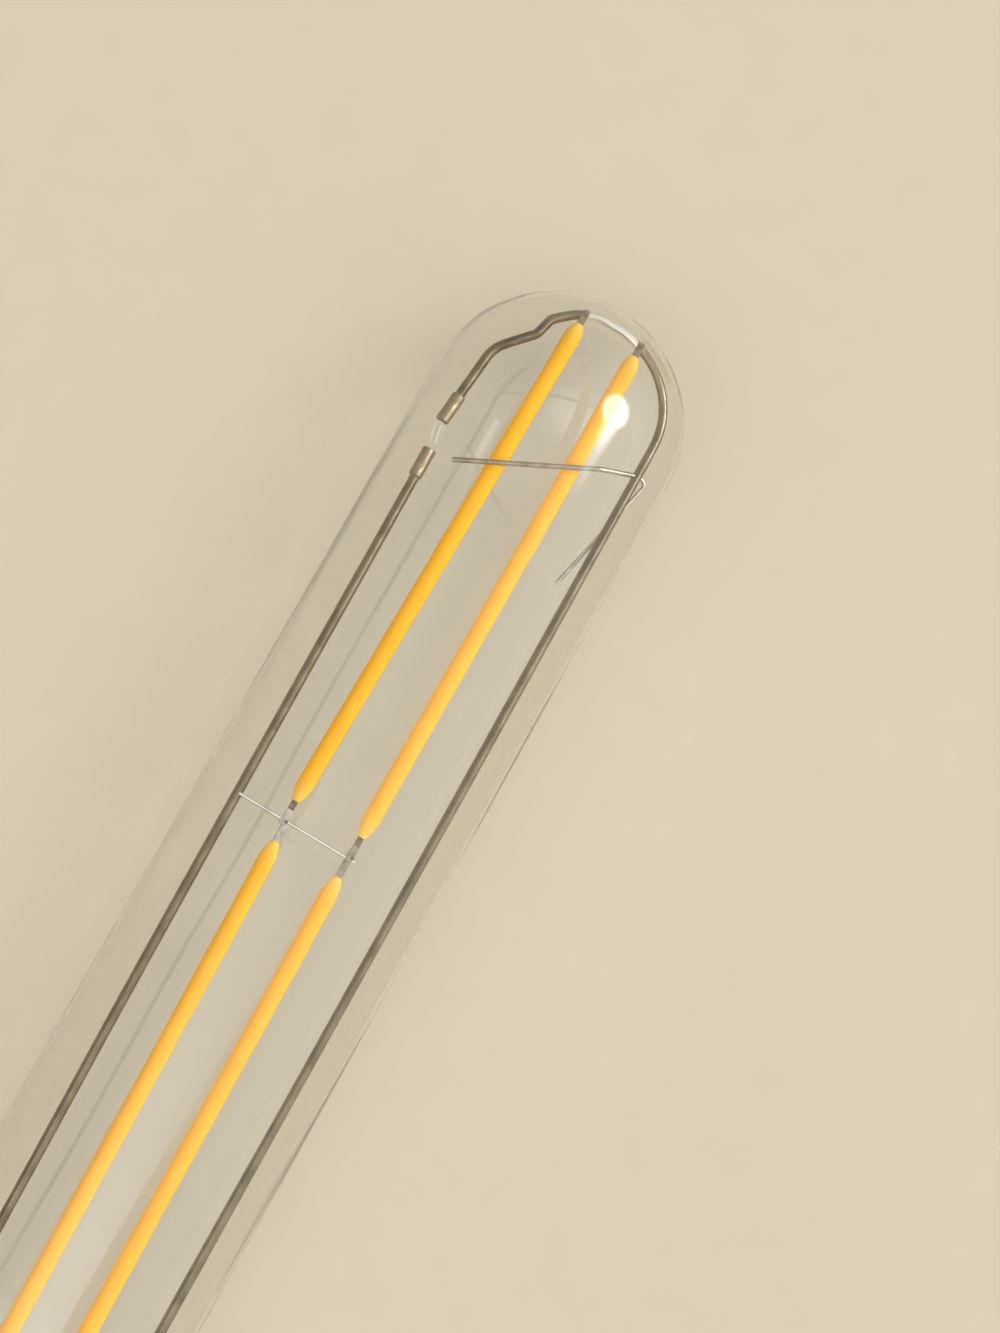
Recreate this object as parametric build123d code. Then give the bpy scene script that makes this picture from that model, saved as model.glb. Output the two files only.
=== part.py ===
from build123d import *
import os
from math import atan2, cos, degrees, floor, pi, radians, sin, sqrt, tan

# Clear tubular filament lamp with a round-thread screw cap, lying on its side.
# Lengths are in millimetres. While it is built, the tip of the glass is at the origin,
# the lamp's axis is X with the cap towards -X, and the wire frame lies in the XY plane.

# Glass tube
TUBE_D = 30.0
GLASS_WALL = 0.5
SHOULDER_L = 12.0
NECK_D = 23.0
NECK_SHOW = 0.8
NECK_DEPTH = 8.0

# Glass stem: a flat press on a short tube that flares out to the neck's end
PRESS_W = 10.0
PRESS_T = 3.4
PRESS_L = 8.0
PRESS_FLAT = 0.4
STEM_D = 11.0
STEM_WALL = 1.0
STEM_TAPER_L = 3.0
STEM_TUBE_L = 2.0
STEM_SEAL_W = 1.0
EXHAUST_D = 4.0
EXHAUST_WALL = 0.7
EXHAUST_TAIL = 0.6

# Wire frame
FRAME_WIRE_D = 1.15
DOME_GAP = 0.1
LONG_WIRE_GAP = 2.4
SHORT_WIRE_GAP = 3.23
SIDE_LEAN = 1.2
LEG_INSET = 0.55
LEG_OUTSET = 0.4
ARCH_BEND_R = 9.6
CREST_END_Y = 2.9
CREST_BEND_R = 5.5
SHOULDER_RISE = 4.1
SHORT_BEND_R = 4.5
JOG_SHARE = 0.45
JOG_RUN = 2.26
JOG_OUT = 0.68
JOG_IN = 0.33
JOG_BEND_R = 1.6
SPLAY_DROP = 2.0
SPLAY_L = 8.0
SPLAY_BEND_R = 2.5
PRESS_PITCH = 7.0
PRESS_LEAD = 0.5
PRESS_GRIP = 3.0

# Sleeves and the glass rod that bridge the frame's two ends
SLEEVE_WALL = 0.2
SLEEVE_L = 3.55
SLEEVE_FIT = 0.02
SLEEVE_DROP = 2.7
SLEEVE_SPACING = 3.5
SLEEVE_ROD_GRIP = 0.8
SLEEVE_END_GAP = 0.5
SLEEVE_CHAMFER = 0.12
ROD_STRAIGHT = 0.6
ROD_BEND_R = 1.5

# Anchor wire and cross wires
ANCHOR_D = 0.6
ANCHOR_RISE = 0.2
ANCHOR_FALL = 9.45
ANCHOR_END_Y = 7.7
ANCHOR_KNEE = 4.1
ANCHOR_KNEE_FALL = 1.7
ANCHOR_CLEAR = 0.06
ANCHOR_BEND_R = 3.0
CROSS_WIRE_D = 0.45
CROSS_OVERHANG = 0.4

# Filaments
PHOSPHOR_D = 1.9
PHOSPHOR_L = 63.3
PHOSPHOR_END_D = 0.95
PHOSPHOR_TAPER_L = 1.5
PHOSPHOR_BULGE_L = 0.5
PHOSPHOR_BULGE_D = 1.55
STRIP_W = 0.8
STRIP_T = 0.24
STRIP_INSET = 1.2
TAB_ON_ARCH = 1.45
TAB_ON_CROSS = 2.5
TAB_END = 0.55
CHIP_COUNT = 20
CHIP_L = 1.0
CHIP_W = 0.4
CHIP_T = 0.15

# Where the filaments cross the frame, from the lamp's axis
UPPER_LEFT_TOP_Y = 2.9
UPPER_LEFT_END_Y = 4.45
UPPER_RIGHT_TOP_Y = -4.5
UPPER_RIGHT_END_Y = -4.0
LOWER_LEFT_TOP_Y = 4.05
LOWER_LEFT_END_Y = 3.0
LOWER_RIGHT_TOP_Y = -4.0
LOWER_RIGHT_END_Y = -4.5

# Leads through the stem
SEAL_WIRE_D = 0.5
SEAL_TAIL = 1.5

# Screw cap: on a 23 mm neck these give a thread of 26.2 mm over its crest and 24.1 mm at its root
SHEET_T = 0.3
NECK_FIT = 0.25
CEMENT_T = 1.4
SHELL_L = 22.0
SKIRT_L = 5.0
RIM_FLARE = 0.35
RIM_FLARE_L = 0.9
STEP_L = 1.2
THREAD_H = 1.05
THREAD_PITCH = 3.629
THREAD_SINK = 0.3
THREAD_HALF_W = 1.45
THREAD_FLANK_H = 0.6
THREAD_FLANK_W = 1.9
THREAD_CREST_W = 0.7
LIP_IN = 1.85
LIP_H = 1.85
CAP_FIT = 0.03
CEMENT_INSET = 1.2
INSULATOR_H = 4.0
INSULATOR_END_D = 10.8
INSULATOR_WALL = 1.6
INSULATOR_BOWL_D = 9.0
INSULATOR_FLANGE_H = 1.0
LEAD_HOLE_D = 1.6
CONTACT_D = 9.6
CONTACT_T = 0.4
CONTACT_BOSS_D = 6.4
CONTACT_BOSS_H = 0.4

# Driver board and its components
BOARD_SEAT = 0.65
BOARD_T = 1.0
BOARD_FIT = 0.3
EDGE_MARGIN = 0.8
LEAD_CLEAR = 0.5
CAPACITOR_TURN = 45
CAPACITOR_MARGIN = 0.2
CAPACITOR_CLEAR = 0.7
CAPACITOR_BUNG_INSET = 0.6
CAPACITOR_BUNG_H = 0.3
CAPACITOR_GROOVE_RISE = 1.6
CAPACITOR_GROOVE_W = 0.9
CAPACITOR_GROOVE_T = 0.4
CAPACITOR_CHAMFER = 0.4
PACKAGE_L = 4.9
PACKAGE_W = 3.9
PACKAGE_H = 1.5
PACKAGE_LEG_W = 0.4
PACKAGE_LEG_REACH = 0.9
PACKAGE_LEG_T = 0.25
FUSE_D = 2.0
FUSE_WAIST_D = 1.6
FUSE_L = 3.6
FUSE_CAP_L = 0.9
FUSE_LEAD_D = 0.5
TONGUE_W = 2.4
TONGUE_T = 0.3
TONGUE_L = 1.8
TONGUE_RISE = 1.8


def point(x, y, z=0.0):
    """A place in the lamp, in the wire frame's plane unless a height is given."""
    return Vector(x, y, z)


def wire_along(path, diameter):
    """Round wire swept along a path of straight runs and tangent arcs."""
    start = Plane(origin=path @ 0, z_dir=path % 0)
    return sweep(start * Circle(diameter / 2), path=path)


def rod(start, end, diameter):
    """Straight round rod, or the bore for one, between two places."""
    run = end - start
    return extrude(Plane(origin=start, z_dir=run) * Circle(diameter / 2), run.length)


def rod_along_x(x_from, x_to, diameter, y=0.0, z=0.0):
    return rod(point(x_from, y, z), point(x_to, y, z), diameter)


def turned(*outline):
    """Solid of revolution about the lamp's axis, from (x, radius) corners."""
    return revolve(make_face(Polyline(*outline, close=True)), axis=Axis.X)


# Arch of the long wire, inside the dome
inner_r = TUBE_D / 2 - GLASS_WALL
dome_x = -TUBE_D / 2
wire_r = FRAME_WIRE_D / 2
long_y = -(inner_r - LONG_WIRE_GAP - wire_r)
short_y = inner_r - SHORT_WIRE_GAP - wire_r
arch_reach = inner_r - DOME_GAP - wire_r
arch_bend_y = long_y + ARCH_BEND_R
crest_x = dome_x + ARCH_BEND_R + sqrt((arch_reach - ARCH_BEND_R) ** 2 - arch_bend_y**2)
crest_end = point(crest_x, CREST_END_Y)
shoulder = point(dome_x + SHOULDER_RISE, short_y - LEG_INSET)
chord = shoulder - crest_end
along = chord.normalized()
outward = point(along.Y, -along.X)
jog_middle = crest_end + chord * JOG_SHARE
jog_top = jog_middle - along * (JOG_RUN / 2) + outward * JOG_OUT
jog_foot = jog_middle + along * (JOG_RUN / 2) - outward * JOG_IN
leg_foot = point(dome_x - SLEEVE_DROP - SLEEVE_L, short_y + LEG_OUTSET)
leg_dir = (leg_foot - shoulder).normalized()
arch_corners = [point(crest_x, long_y), crest_end, jog_top, jog_foot, shoulder]
arch_end = leg_foot - leg_dir * (SLEEVE_ROD_GRIP + SLEEVE_END_GAP)
arch_radii = [ARCH_BEND_R, CREST_BEND_R, JOG_BEND_R, JOG_BEND_R, SHORT_BEND_R]
arch_curve = FilletPolyline(point(dome_x, long_y), *arch_corners, arch_end, radius=arch_radii)


def arch_x_at(y):
    """Where the arch's centre line stands over a given y, found by halving."""
    low, high = 0.0, 1.0
    for _ in range(40):
        middle = (low + high) / 2
        if (arch_curve @ middle).Y < y:
            low = middle
        else:
            high = middle
    return (arch_curve @ low).X


# Heights of the two rows: the upper row's tabs lie on the frame, the lower row's under the cross wire
cross_r = CROSS_WIRE_D / 2
upper_row_z = wire_r + STRIP_T / 2
middle_cross_z = wire_r - cross_r
lower_row_z = middle_cross_z - cross_r - STRIP_T / 2
lower_cross_z = lower_row_z - STRIP_T / 2 - cross_r

# Lengths down the lamp, from the arch to the contact
upper_span = TAB_ON_ARCH + PHOSPHOR_L + TAB_ON_CROSS
lower_span = TAB_ON_CROSS + PHOSPHOR_L + TAB_ON_CROSS
upper_left_x = arch_x_at(UPPER_LEFT_TOP_Y)
upper_right_x = arch_x_at(UPPER_RIGHT_TOP_Y)
middle_cross_x = (upper_left_x + upper_right_x) / 2 - upper_span
lower_cross_x = middle_cross_x - lower_span
splay_top_x = lower_cross_x - SPLAY_DROP
splay_foot_x = splay_top_x - SPLAY_L
press_top_x = splay_foot_x - PRESS_LEAD
press_foot_x = press_top_x - PRESS_L
stem_tube_x = press_foot_x - STEM_TAPER_L
flare_x = stem_tube_x - STEM_TUBE_L
flare_r = NECK_D / 2 - STEM_SEAL_W - STEM_D / 2
neck_end_x = flare_x - flare_r
rim_x = neck_end_x + NECK_DEPTH
shell_end_x = rim_x - SHELL_L
contact_seat_x = shell_end_x - INSULATOR_H
contact_x = contact_seat_x - CONTACT_T - CONTACT_BOSS_H
overall_l = -contact_x

nodes = {}


# Glass envelope: blown dome, drawn tube and a shoulder that turns in to the neck
def envelope_outline(inset):
    radius = TUBE_D / 2 - inset
    neck_r = NECK_D / 2 - inset
    neck_top = rim_x + NECK_SHOW
    shoulder_top = neck_top + SHOULDER_L
    middle = point((neck_top + shoulder_top) / 2, (radius + neck_r) / 2)
    dome = CenterArc(point(dome_x, 0), radius, 0, 90)
    side = Line(dome @ 1, point(shoulder_top, radius))
    turn_in = TangentArc(side @ 1, middle, tangent=(-1, 0))
    turn_out = TangentArc(middle, point(neck_top, neck_r), tangent=turn_in % 1)
    neck = Line(turn_out @ 1, point(neck_end_x, neck_r))
    end = Line(neck @ 1, point(neck_end_x, 0))
    axis = Line(end @ 1, dome @ 0)
    return make_face([dome, side, turn_in, turn_out, neck, end, axis])


envelope = revolve(envelope_outline(0), axis=Axis.X)
nodes["glass_envelope"] = envelope - revolve(envelope_outline(GLASS_WALL), axis=Axis.X)

# Frame wires: the long one arches over the dome, the short one stops in the lower sleeve
press_y = PRESS_PITCH / 2
grip_x = press_top_x - PRESS_GRIP
long_foot = [point(grip_x, -press_y), point(splay_foot_x, -press_y), point(splay_top_x, long_y)]
long_radii = [SPLAY_BEND_R, SPLAY_BEND_R] + arch_radii
long_path = FilletPolyline(*long_foot, *arch_corners, arch_end, radius=long_radii)
nodes["arch_wire"] = wire_along(long_path, FRAME_WIRE_D)

lower_sleeve_top = point(leg_foot.X - SLEEVE_SPACING, short_y)
side_foot = point(splay_top_x, short_y - SIDE_LEAN)
side_dir = (side_foot - lower_sleeve_top).normalized()
side_top = lower_sleeve_top + side_dir * (SLEEVE_ROD_GRIP + SLEEVE_END_GAP)
short_foot = [point(grip_x, press_y), point(splay_foot_x, press_y), side_foot]
short_path = FilletPolyline(*short_foot, side_top, radius=SPLAY_BEND_R)
nodes["side_wire"] = wire_along(short_path, FRAME_WIRE_D)

# Sleeves crimped on the two wire ends, and the clear glass rod that keeps them apart
sleeve_bore = FRAME_WIRE_D + 2 * SLEEVE_FIT
sleeve_d = sleeve_bore + 2 * SLEEVE_WALL
upper_sleeve_top = leg_foot - leg_dir * SLEEVE_L
lower_sleeve_foot = lower_sleeve_top + side_dir * SLEEVE_L
sleeves = [
    ("upper_sleeve", upper_sleeve_top, leg_foot),
    ("lower_sleeve", lower_sleeve_top, lower_sleeve_foot),
]
for name, top, foot in sleeves:
    tube = rod(top, foot, sleeve_d)
    tube = chamfer(tube.edges().filter_by(GeomType.CIRCLE), SLEEVE_CHAMFER)
    nodes[name] = tube - rod(top, foot, sleeve_bore)
rod_path = FilletPolyline(
    leg_foot - leg_dir * SLEEVE_ROD_GRIP,
    leg_foot + leg_dir * ROD_STRAIGHT,
    lower_sleeve_top - side_dir * ROD_STRAIGHT,
    lower_sleeve_top + side_dir * SLEEVE_ROD_GRIP,
    radius=ROD_BEND_R,
)
nodes["bridge_rod"] = wire_along(rod_path, FRAME_WIRE_D)

# Anchor wire: welded to the long wire's side, it lies across the front of the upper row
anchor_z = upper_row_z + PHOSPHOR_D / 2 + ANCHOR_D / 2 + ANCHOR_CLEAR
anchor_start = point(dome_x + ANCHOR_RISE, long_y)
anchor_knee = point(anchor_start.X - ANCHOR_KNEE_FALL, long_y + ANCHOR_KNEE, anchor_z)
anchor_end = point(anchor_start.X - ANCHOR_FALL, ANCHOR_END_Y, anchor_z)
anchor_path = FilletPolyline(anchor_start, anchor_knee, anchor_end, radius=ANCHOR_BEND_R)
nodes["anchor_wire"] = wire_along(anchor_path, ANCHOR_D) - nodes["arch_wire"]

# Cross wires: one from the short wire for both rows, one from the long wire for the lower row
tab_reach = STRIP_W / 2 + CROSS_OVERHANG
middle_end_y = min(UPPER_RIGHT_END_Y, LOWER_RIGHT_TOP_Y) - tab_reach
lower_end_y = max(LOWER_LEFT_END_Y, LOWER_LEFT_TOP_Y) + tab_reach
lean_share = (lower_sleeve_top.X - middle_cross_x) / (lower_sleeve_top.X - side_foot.X)
middle_start = point(middle_cross_x, short_y - SIDE_LEAN * lean_share, middle_cross_z)
middle_cross = rod(middle_start, point(middle_cross_x, middle_end_y, middle_cross_z), CROSS_WIRE_D)
nodes["middle_cross_wire"] = middle_cross - nodes["side_wire"]
lower_start = point(lower_cross_x, long_y, lower_cross_z)
lower_cross = rod(lower_start, point(lower_cross_x, lower_end_y, lower_cross_z), CROSS_WIRE_D)
nodes["lower_cross_wire"] = lower_cross - nodes["arch_wire"]


# Filaments: a ceramic strip with a row of chips in a phosphor coat, and a metal tab at each end
def filament(name, top, foot, z, top_tab, foot_tab):
    half = PHOSPHOR_L / 2
    taper_x = half - PHOSPHOR_TAPER_L
    body_r = PHOSPHOR_D / 2
    end_r = PHOSPHOR_END_D / 2
    strip_half = half - STRIP_INSET
    strip = Box(2 * strip_half, STRIP_W, STRIP_T)
    chip_pitch = 2 * strip_half / CHIP_COUNT
    chip = Pos(0, 0, (STRIP_T + CHIP_T) / 2) * Box(CHIP_L, CHIP_W, CHIP_T)
    places = [Pos((i - (CHIP_COUNT - 1) / 2) * chip_pitch) for i in range(CHIP_COUNT)]
    chips = Part() + [place * chip for place in places]
    tabs = {}
    for end, free, side in [("top_tab", top_tab, 1), ("foot_tab", foot_tab, -1)]:
        tab_l = STRIP_INSET + free + TAB_END
        tabs[end] = Pos(side * (strip_half + tab_l / 2)) * Box(tab_l, STRIP_W, STRIP_T)
    bullet = [(taper_x, body_r), (half - PHOSPHOR_BULGE_L, PHOSPHOR_BULGE_D / 2), (half, end_r)]
    mirrored = [(-x, radius) for x, radius in reversed(bullet)]
    coat = turned((half, 0), (-half, 0), *mirrored, *bullet) - strip - chips - list(tabs.values())
    run = top - foot
    middle = top + (foot - top).normalized() * (top_tab + half)
    place = Pos(middle.X, middle.Y, z) * Rot(0, 0, degrees(atan2(run.Y, run.X)))
    for part_name, part in [("phosphor", coat), ("strip", strip), ("chips", chips), *tabs.items()]:
        nodes[f"{name}_{part_name}"] = place * part


upper_rows = [
    ("upper_left", upper_left_x, UPPER_LEFT_TOP_Y, UPPER_LEFT_END_Y),
    ("upper_right", upper_right_x, UPPER_RIGHT_TOP_Y, UPPER_RIGHT_END_Y),
]
for name, top_x, top_y, end_y in upper_rows:
    foot = point(middle_cross_x, end_y)
    filament(name, point(top_x, top_y), foot, upper_row_z, TAB_ON_ARCH, TAB_ON_CROSS)
lower_rows = [
    ("lower_left", LOWER_LEFT_TOP_Y, LOWER_LEFT_END_Y),
    ("lower_right", LOWER_RIGHT_TOP_Y, LOWER_RIGHT_END_Y),
]
for name, top_y, end_y in lower_rows:
    foot = point(lower_cross_x, end_y)
    filament(name, point(middle_cross_x, top_y), foot, lower_row_z, TAB_ON_CROSS, TAB_ON_CROSS)

# Driver board, round, held in the cap just above the insulator
bore_r = NECK_D / 2 + NECK_FIT
lip_x = shell_end_x + LIP_H
flange_top_x = lip_x + INSULATOR_FLANGE_H
board_back_x = flange_top_x + BOARD_SEAT
board_front_x = board_back_x + BOARD_T
board_r = bore_r - BOARD_FIT
nodes["driver_board"] = rod_along_x(board_front_x, board_back_x, 2 * board_r)

# Seal wires run on from the frame wires through the press, and the leads from there to the board
seal_foot_x = stem_tube_x - SEAL_TAIL
for side, y in [("left", press_y), ("right", -press_y)]:
    nodes[f"{side}_seal_wire"] = rod_along_x(grip_x, seal_foot_x, SEAL_WIRE_D, y)
    nodes[f"{side}_lead"] = rod_along_x(seal_foot_x, board_front_x, SEAL_WIRE_D, y)

# Stem: press, taper and flare in one glass, fused round the wires
stem_r = STEM_D / 2
rim_r = NECK_D / 2
bore_top_x = stem_tube_x - STEM_WALL
across_x = Plane(origin=(press_foot_x, 0, 0), x_dir=(0, 0, -1), z_dir=(1, 0, 0))
press_corner_r = (PRESS_T - PRESS_FLAT) / 2
press = extrude(across_x * RectangleRounded(PRESS_T, PRESS_W, press_corner_r), PRESS_L)
pinch = Polyline(
    (stem_tube_x, -stem_r),
    (press_foot_x, -PRESS_T / 2),
    (press_foot_x, PRESS_T / 2),
    (stem_tube_x, stem_r),
    close=True,
)
wedge = extrude(Plane.XZ * make_face(pinch), stem_r, both=True)
taper = rod_along_x(stem_tube_x, press_foot_x, STEM_D) & wedge
mitre = STEM_WALL * tan(pi / 8)
flare = turned(
    (stem_tube_x, 0),
    (stem_tube_x, stem_r),
    (flare_x, stem_r),
    (neck_end_x, rim_r - STEM_SEAL_W),
    (neck_end_x, rim_r),
    (neck_end_x - STEM_WALL, rim_r),
    (neck_end_x - STEM_WALL, rim_r - STEM_SEAL_W - mitre),
    (flare_x - mitre, stem_r - STEM_WALL),
    (bore_top_x, stem_r - STEM_WALL),
    (bore_top_x, 0),
)
stem_wires = [nodes[name] for name in ("arch_wire", "side_wire", "left_seal_wire", "right_seal_wire")]
nodes["stem_flare"] = press + taper + flare - stem_wires

# Exhaust tube, sealed off to a blunt tip below the flare
exhaust_r = EXHAUST_D / 2
exhaust_bore_r = exhaust_r - EXHAUST_WALL
exhaust_foot_x = neck_end_x - STEM_WALL - EXHAUST_TAIL
tip_x = exhaust_foot_x + exhaust_r
nodes["exhaust_tube"] = turned(
    (bore_top_x, exhaust_r),
    (tip_x, exhaust_r),
    (exhaust_foot_x, exhaust_r / 2),
    (exhaust_foot_x, 0),
    (exhaust_foot_x + EXHAUST_WALL, 0),
    (tip_x, exhaust_bore_r),
    (bore_top_x, exhaust_bore_r),
)

# Screw shell: thin sheet with a skirt for the glass, a rolled round thread and a turned-in lip
root_r = bore_r + SHEET_T
skirt_r = NECK_D / 2 + CEMENT_T + SHEET_T
skirt_end_x = rim_x - SKIRT_L
thread_top_x = skirt_end_x - STEP_L
lip_r = root_r - LIP_IN


def shell_outline(inset):
    return [
        (rim_x, skirt_r + RIM_FLARE - inset),
        (rim_x - RIM_FLARE_L, skirt_r - inset),
        (skirt_end_x, skirt_r - inset),
        (thread_top_x, root_r - inset),
        (lip_x, root_r - inset),
        (shell_end_x, lip_r - inset),
    ]


# The ridge is a right-hand helix of as many whole turns as fit between the lip and the skirt.
# Its foot is sunk in the sheet, and its top end in the skirt.
ridge_top_x = skirt_end_x + THREAD_HALF_W + THREAD_SINK
turn_count = floor((ridge_top_x - lip_x - THREAD_HALF_W) / THREAD_PITCH)
ridge_foot_x = ridge_top_x - turn_count * THREAD_PITCH
helix = Helix(THREAD_PITCH, THREAD_PITCH, root_r, center=(ridge_foot_x, 0, 0), direction=(1, 0, 0))
ridge_start = helix @ 0
radial_dir = point(0, ridge_start.Y, ridge_start.Z)
ridge_plane = Plane(origin=ridge_start, x_dir=radial_dir, z_dir=helix % 0)
half_ridge = [
    (-SHEET_T / 2, THREAD_HALF_W),
    (THREAD_FLANK_H, THREAD_FLANK_W / 2),
    (THREAD_H, THREAD_CREST_W / 2),
]
other_half = [(radial, -axial) for radial, axial in reversed(half_ridge)]
ridge_section = make_face(Polyline(*half_ridge, *other_half, close=True))
turn = sweep(ridge_plane * ridge_section, path=helix, is_frenet=True)
ridge = [Pos(i * THREAD_PITCH) * turn for i in range(turn_count)]
hollow = turned((rim_x, 0), *shell_outline(SHEET_T), (shell_end_x, 0))
blank = turned((rim_x, 0), *shell_outline(0), (shell_end_x, 0))
nodes["screw_shell"] = blank + ridge - hollow

# Cement ring between the glass neck and the skirt
cement_top_x = rim_x - CEMENT_INSET
cement_inner_r = NECK_D / 2 + CAP_FIT
cement_outer_r = skirt_r - SHEET_T - CAP_FIT
nodes["basing_cement"] = turned(
    (cement_top_x, cement_inner_r),
    (cement_top_x, cement_outer_r),
    (skirt_end_x, cement_outer_r),
    (skirt_end_x, cement_inner_r),
)

# Insulator moulded in the lip: a hollow cone that carries the centre contact
insulator_r = bore_r - CAP_FIT
neck_r = lip_r - SHEET_T - CAP_FIT
end_r = INSULATOR_END_D / 2
hole_r = LEAD_HOLE_D / 2
bowl_r = INSULATOR_BOWL_D / 2
nodes["cap_insulator"] = turned(
    (flange_top_x, insulator_r),
    (lip_x, insulator_r),
    (shell_end_x, neck_r),
    (contact_seat_x, end_r),
    (contact_seat_x, hole_r),
    (contact_seat_x + INSULATOR_WALL, hole_r),
    (contact_seat_x + INSULATOR_WALL, bowl_r),
    (flange_top_x, bowl_r),
)

# Centre contact: a plate with a flat boss
plate_x = contact_seat_x - CONTACT_T
plate = rod_along_x(contact_seat_x, plate_x, CONTACT_D)
nodes["centre_contact"] = plate + rod_along_x(plate_x, contact_x, CONTACT_BOSS_D)

# Components: a smoothing capacitor, two surface packages and the tongue that feeds the shell in
# front of the board, and a fuse resistor on the way to the contact behind it

# The capacitor is a can on a rubber bung, as wide as the board's edge and the left lead leave room
# for. It is the heaviest of them. Low and to the left, it balances the long frame wire, so the lamp
# lies with its wire frame level.
can_reach = board_r - CAPACITOR_MARGIN
lead_gap = SEAL_WIRE_D / 2 + CAPACITOR_CLEAR
lead_share = press_y * cos(radians(CAPACITOR_TURN))
can_room = can_reach**2 + press_y**2 - 2 * can_reach * lead_share - lead_gap**2
can_r = can_room / (2 * (can_reach + lead_gap - lead_share))
can_offset = can_reach - can_r
can_y = can_offset * cos(radians(CAPACITOR_TURN))
can_z = -can_offset * sin(radians(CAPACITOR_TURN))
bung_r = can_r - CAPACITOR_BUNG_INSET
can_foot_x = board_front_x + CAPACITOR_BUNG_H
groove_x = board_front_x + CAPACITOR_GROOVE_RISE
can_top_x = exhaust_foot_x - CAPACITOR_CLEAR
can = turned(
    (board_front_x, 0),
    (board_front_x, bung_r),
    (can_foot_x, bung_r),
    (can_foot_x, can_r),
    (groove_x - CAPACITOR_GROOVE_W / 2, can_r),
    (groove_x, can_r - CAPACITOR_GROOVE_T),
    (groove_x + CAPACITOR_GROOVE_W / 2, can_r),
    (can_top_x - CAPACITOR_CHAMFER, can_r),
    (can_top_x, can_r - CAPACITOR_CHAMFER),
    (can_top_x, 0),
)
nodes["smoothing_capacitor"] = Pos(0, can_y, can_z) * can

# Two packages side by side above the leads
edge_r = board_r - EDGE_MARGIN
leg_span = PACKAGE_W + 2 * PACKAGE_LEG_REACH
package_z = SEAL_WIRE_D / 2 + LEAD_CLEAR + leg_span / 2
package_y = sqrt(edge_r**2 - (package_z + leg_span / 2) ** 2) - PACKAGE_L / 2


def package(y, leg_ys):
    body = Pos(board_front_x + PACKAGE_H / 2, y, package_z) * Box(PACKAGE_H, PACKAGE_L, PACKAGE_W)
    leg = Box(PACKAGE_LEG_T, PACKAGE_LEG_W, leg_span)
    places = [Pos(board_front_x + PACKAGE_LEG_T / 2, y + leg_y, package_z) for leg_y in leg_ys]
    return body + [place * leg for place in places]


leg_pitch = PACKAGE_L / 4
nodes["bridge_rectifier"] = package(-package_y, [-leg_pitch, leg_pitch])
nodes["driver_chip"] = package(package_y, [(i - 1.5) * leg_pitch for i in range(4)])

# Fuse resistor: a dipped body with a cap at each end, on one straight lead
fuse_middle_x = (board_back_x + contact_seat_x) / 2
fuse_half = FUSE_L / 2
waist_half = fuse_half - FUSE_CAP_L
fuse_body = turned(
    (fuse_middle_x - fuse_half, 0),
    (fuse_middle_x - fuse_half, FUSE_D / 2),
    (fuse_middle_x - waist_half, FUSE_D / 2),
    (fuse_middle_x - waist_half, FUSE_WAIST_D / 2),
    (fuse_middle_x + waist_half, FUSE_WAIST_D / 2),
    (fuse_middle_x + waist_half, FUSE_D / 2),
    (fuse_middle_x + fuse_half, FUSE_D / 2),
    (fuse_middle_x + fuse_half, 0),
)
nodes["fuse_resistor"] = fuse_body + rod_along_x(board_back_x, contact_seat_x, FUSE_LEAD_D)

# Tongue: an angle of sheet at the board's right edge
tongue_outer_r = bore_r - CAP_FIT - BOARD_FIT
tongue_foot = Box(TONGUE_T, TONGUE_L, TONGUE_W)
tongue_foot = Pos(board_front_x + TONGUE_T / 2, -tongue_outer_r + TONGUE_L / 2, 0) * tongue_foot
upright = Box(TONGUE_RISE, TONGUE_T, TONGUE_W)
upright = Pos(board_front_x + TONGUE_RISE / 2, -tongue_outer_r + TONGUE_T / 2, 0) * upright
nodes["shell_tongue"] = tongue_foot + upright

# Laid on its side: the middle of the length at the origin, the glass on the ground
at_rest = Pos(overall_l / 2, 0, TUBE_D / 2)
os.makedirs("parts", exist_ok=True)
for name, part in nodes.items():
    export_step(at_rest * part, f"parts/{name}.step")
print("overall length", round(overall_l, 3), "nodes", len(nodes))
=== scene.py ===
import math

import bmesh
import bpy
from mathutils import Matrix, Vector, noise


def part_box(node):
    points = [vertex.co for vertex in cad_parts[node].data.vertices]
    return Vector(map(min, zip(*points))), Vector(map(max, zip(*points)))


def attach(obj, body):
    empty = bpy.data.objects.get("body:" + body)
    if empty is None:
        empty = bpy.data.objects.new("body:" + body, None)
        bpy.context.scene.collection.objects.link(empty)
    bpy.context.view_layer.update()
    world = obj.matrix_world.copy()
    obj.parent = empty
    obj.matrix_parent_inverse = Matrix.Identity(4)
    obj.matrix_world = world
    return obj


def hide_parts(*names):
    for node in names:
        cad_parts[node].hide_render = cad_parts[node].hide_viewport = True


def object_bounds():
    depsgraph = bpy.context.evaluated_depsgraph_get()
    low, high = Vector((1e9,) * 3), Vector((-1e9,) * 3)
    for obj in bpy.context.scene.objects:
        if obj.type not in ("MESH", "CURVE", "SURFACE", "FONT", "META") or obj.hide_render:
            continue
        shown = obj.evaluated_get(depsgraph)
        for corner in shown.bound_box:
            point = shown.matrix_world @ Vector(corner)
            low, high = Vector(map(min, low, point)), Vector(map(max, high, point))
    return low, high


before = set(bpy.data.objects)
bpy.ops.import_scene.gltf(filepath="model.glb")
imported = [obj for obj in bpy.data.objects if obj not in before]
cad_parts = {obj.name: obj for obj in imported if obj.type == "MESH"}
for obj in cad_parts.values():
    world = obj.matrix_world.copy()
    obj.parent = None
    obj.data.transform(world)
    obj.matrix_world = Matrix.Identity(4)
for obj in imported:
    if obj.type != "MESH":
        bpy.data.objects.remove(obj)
cad_low, cad_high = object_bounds()


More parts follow.
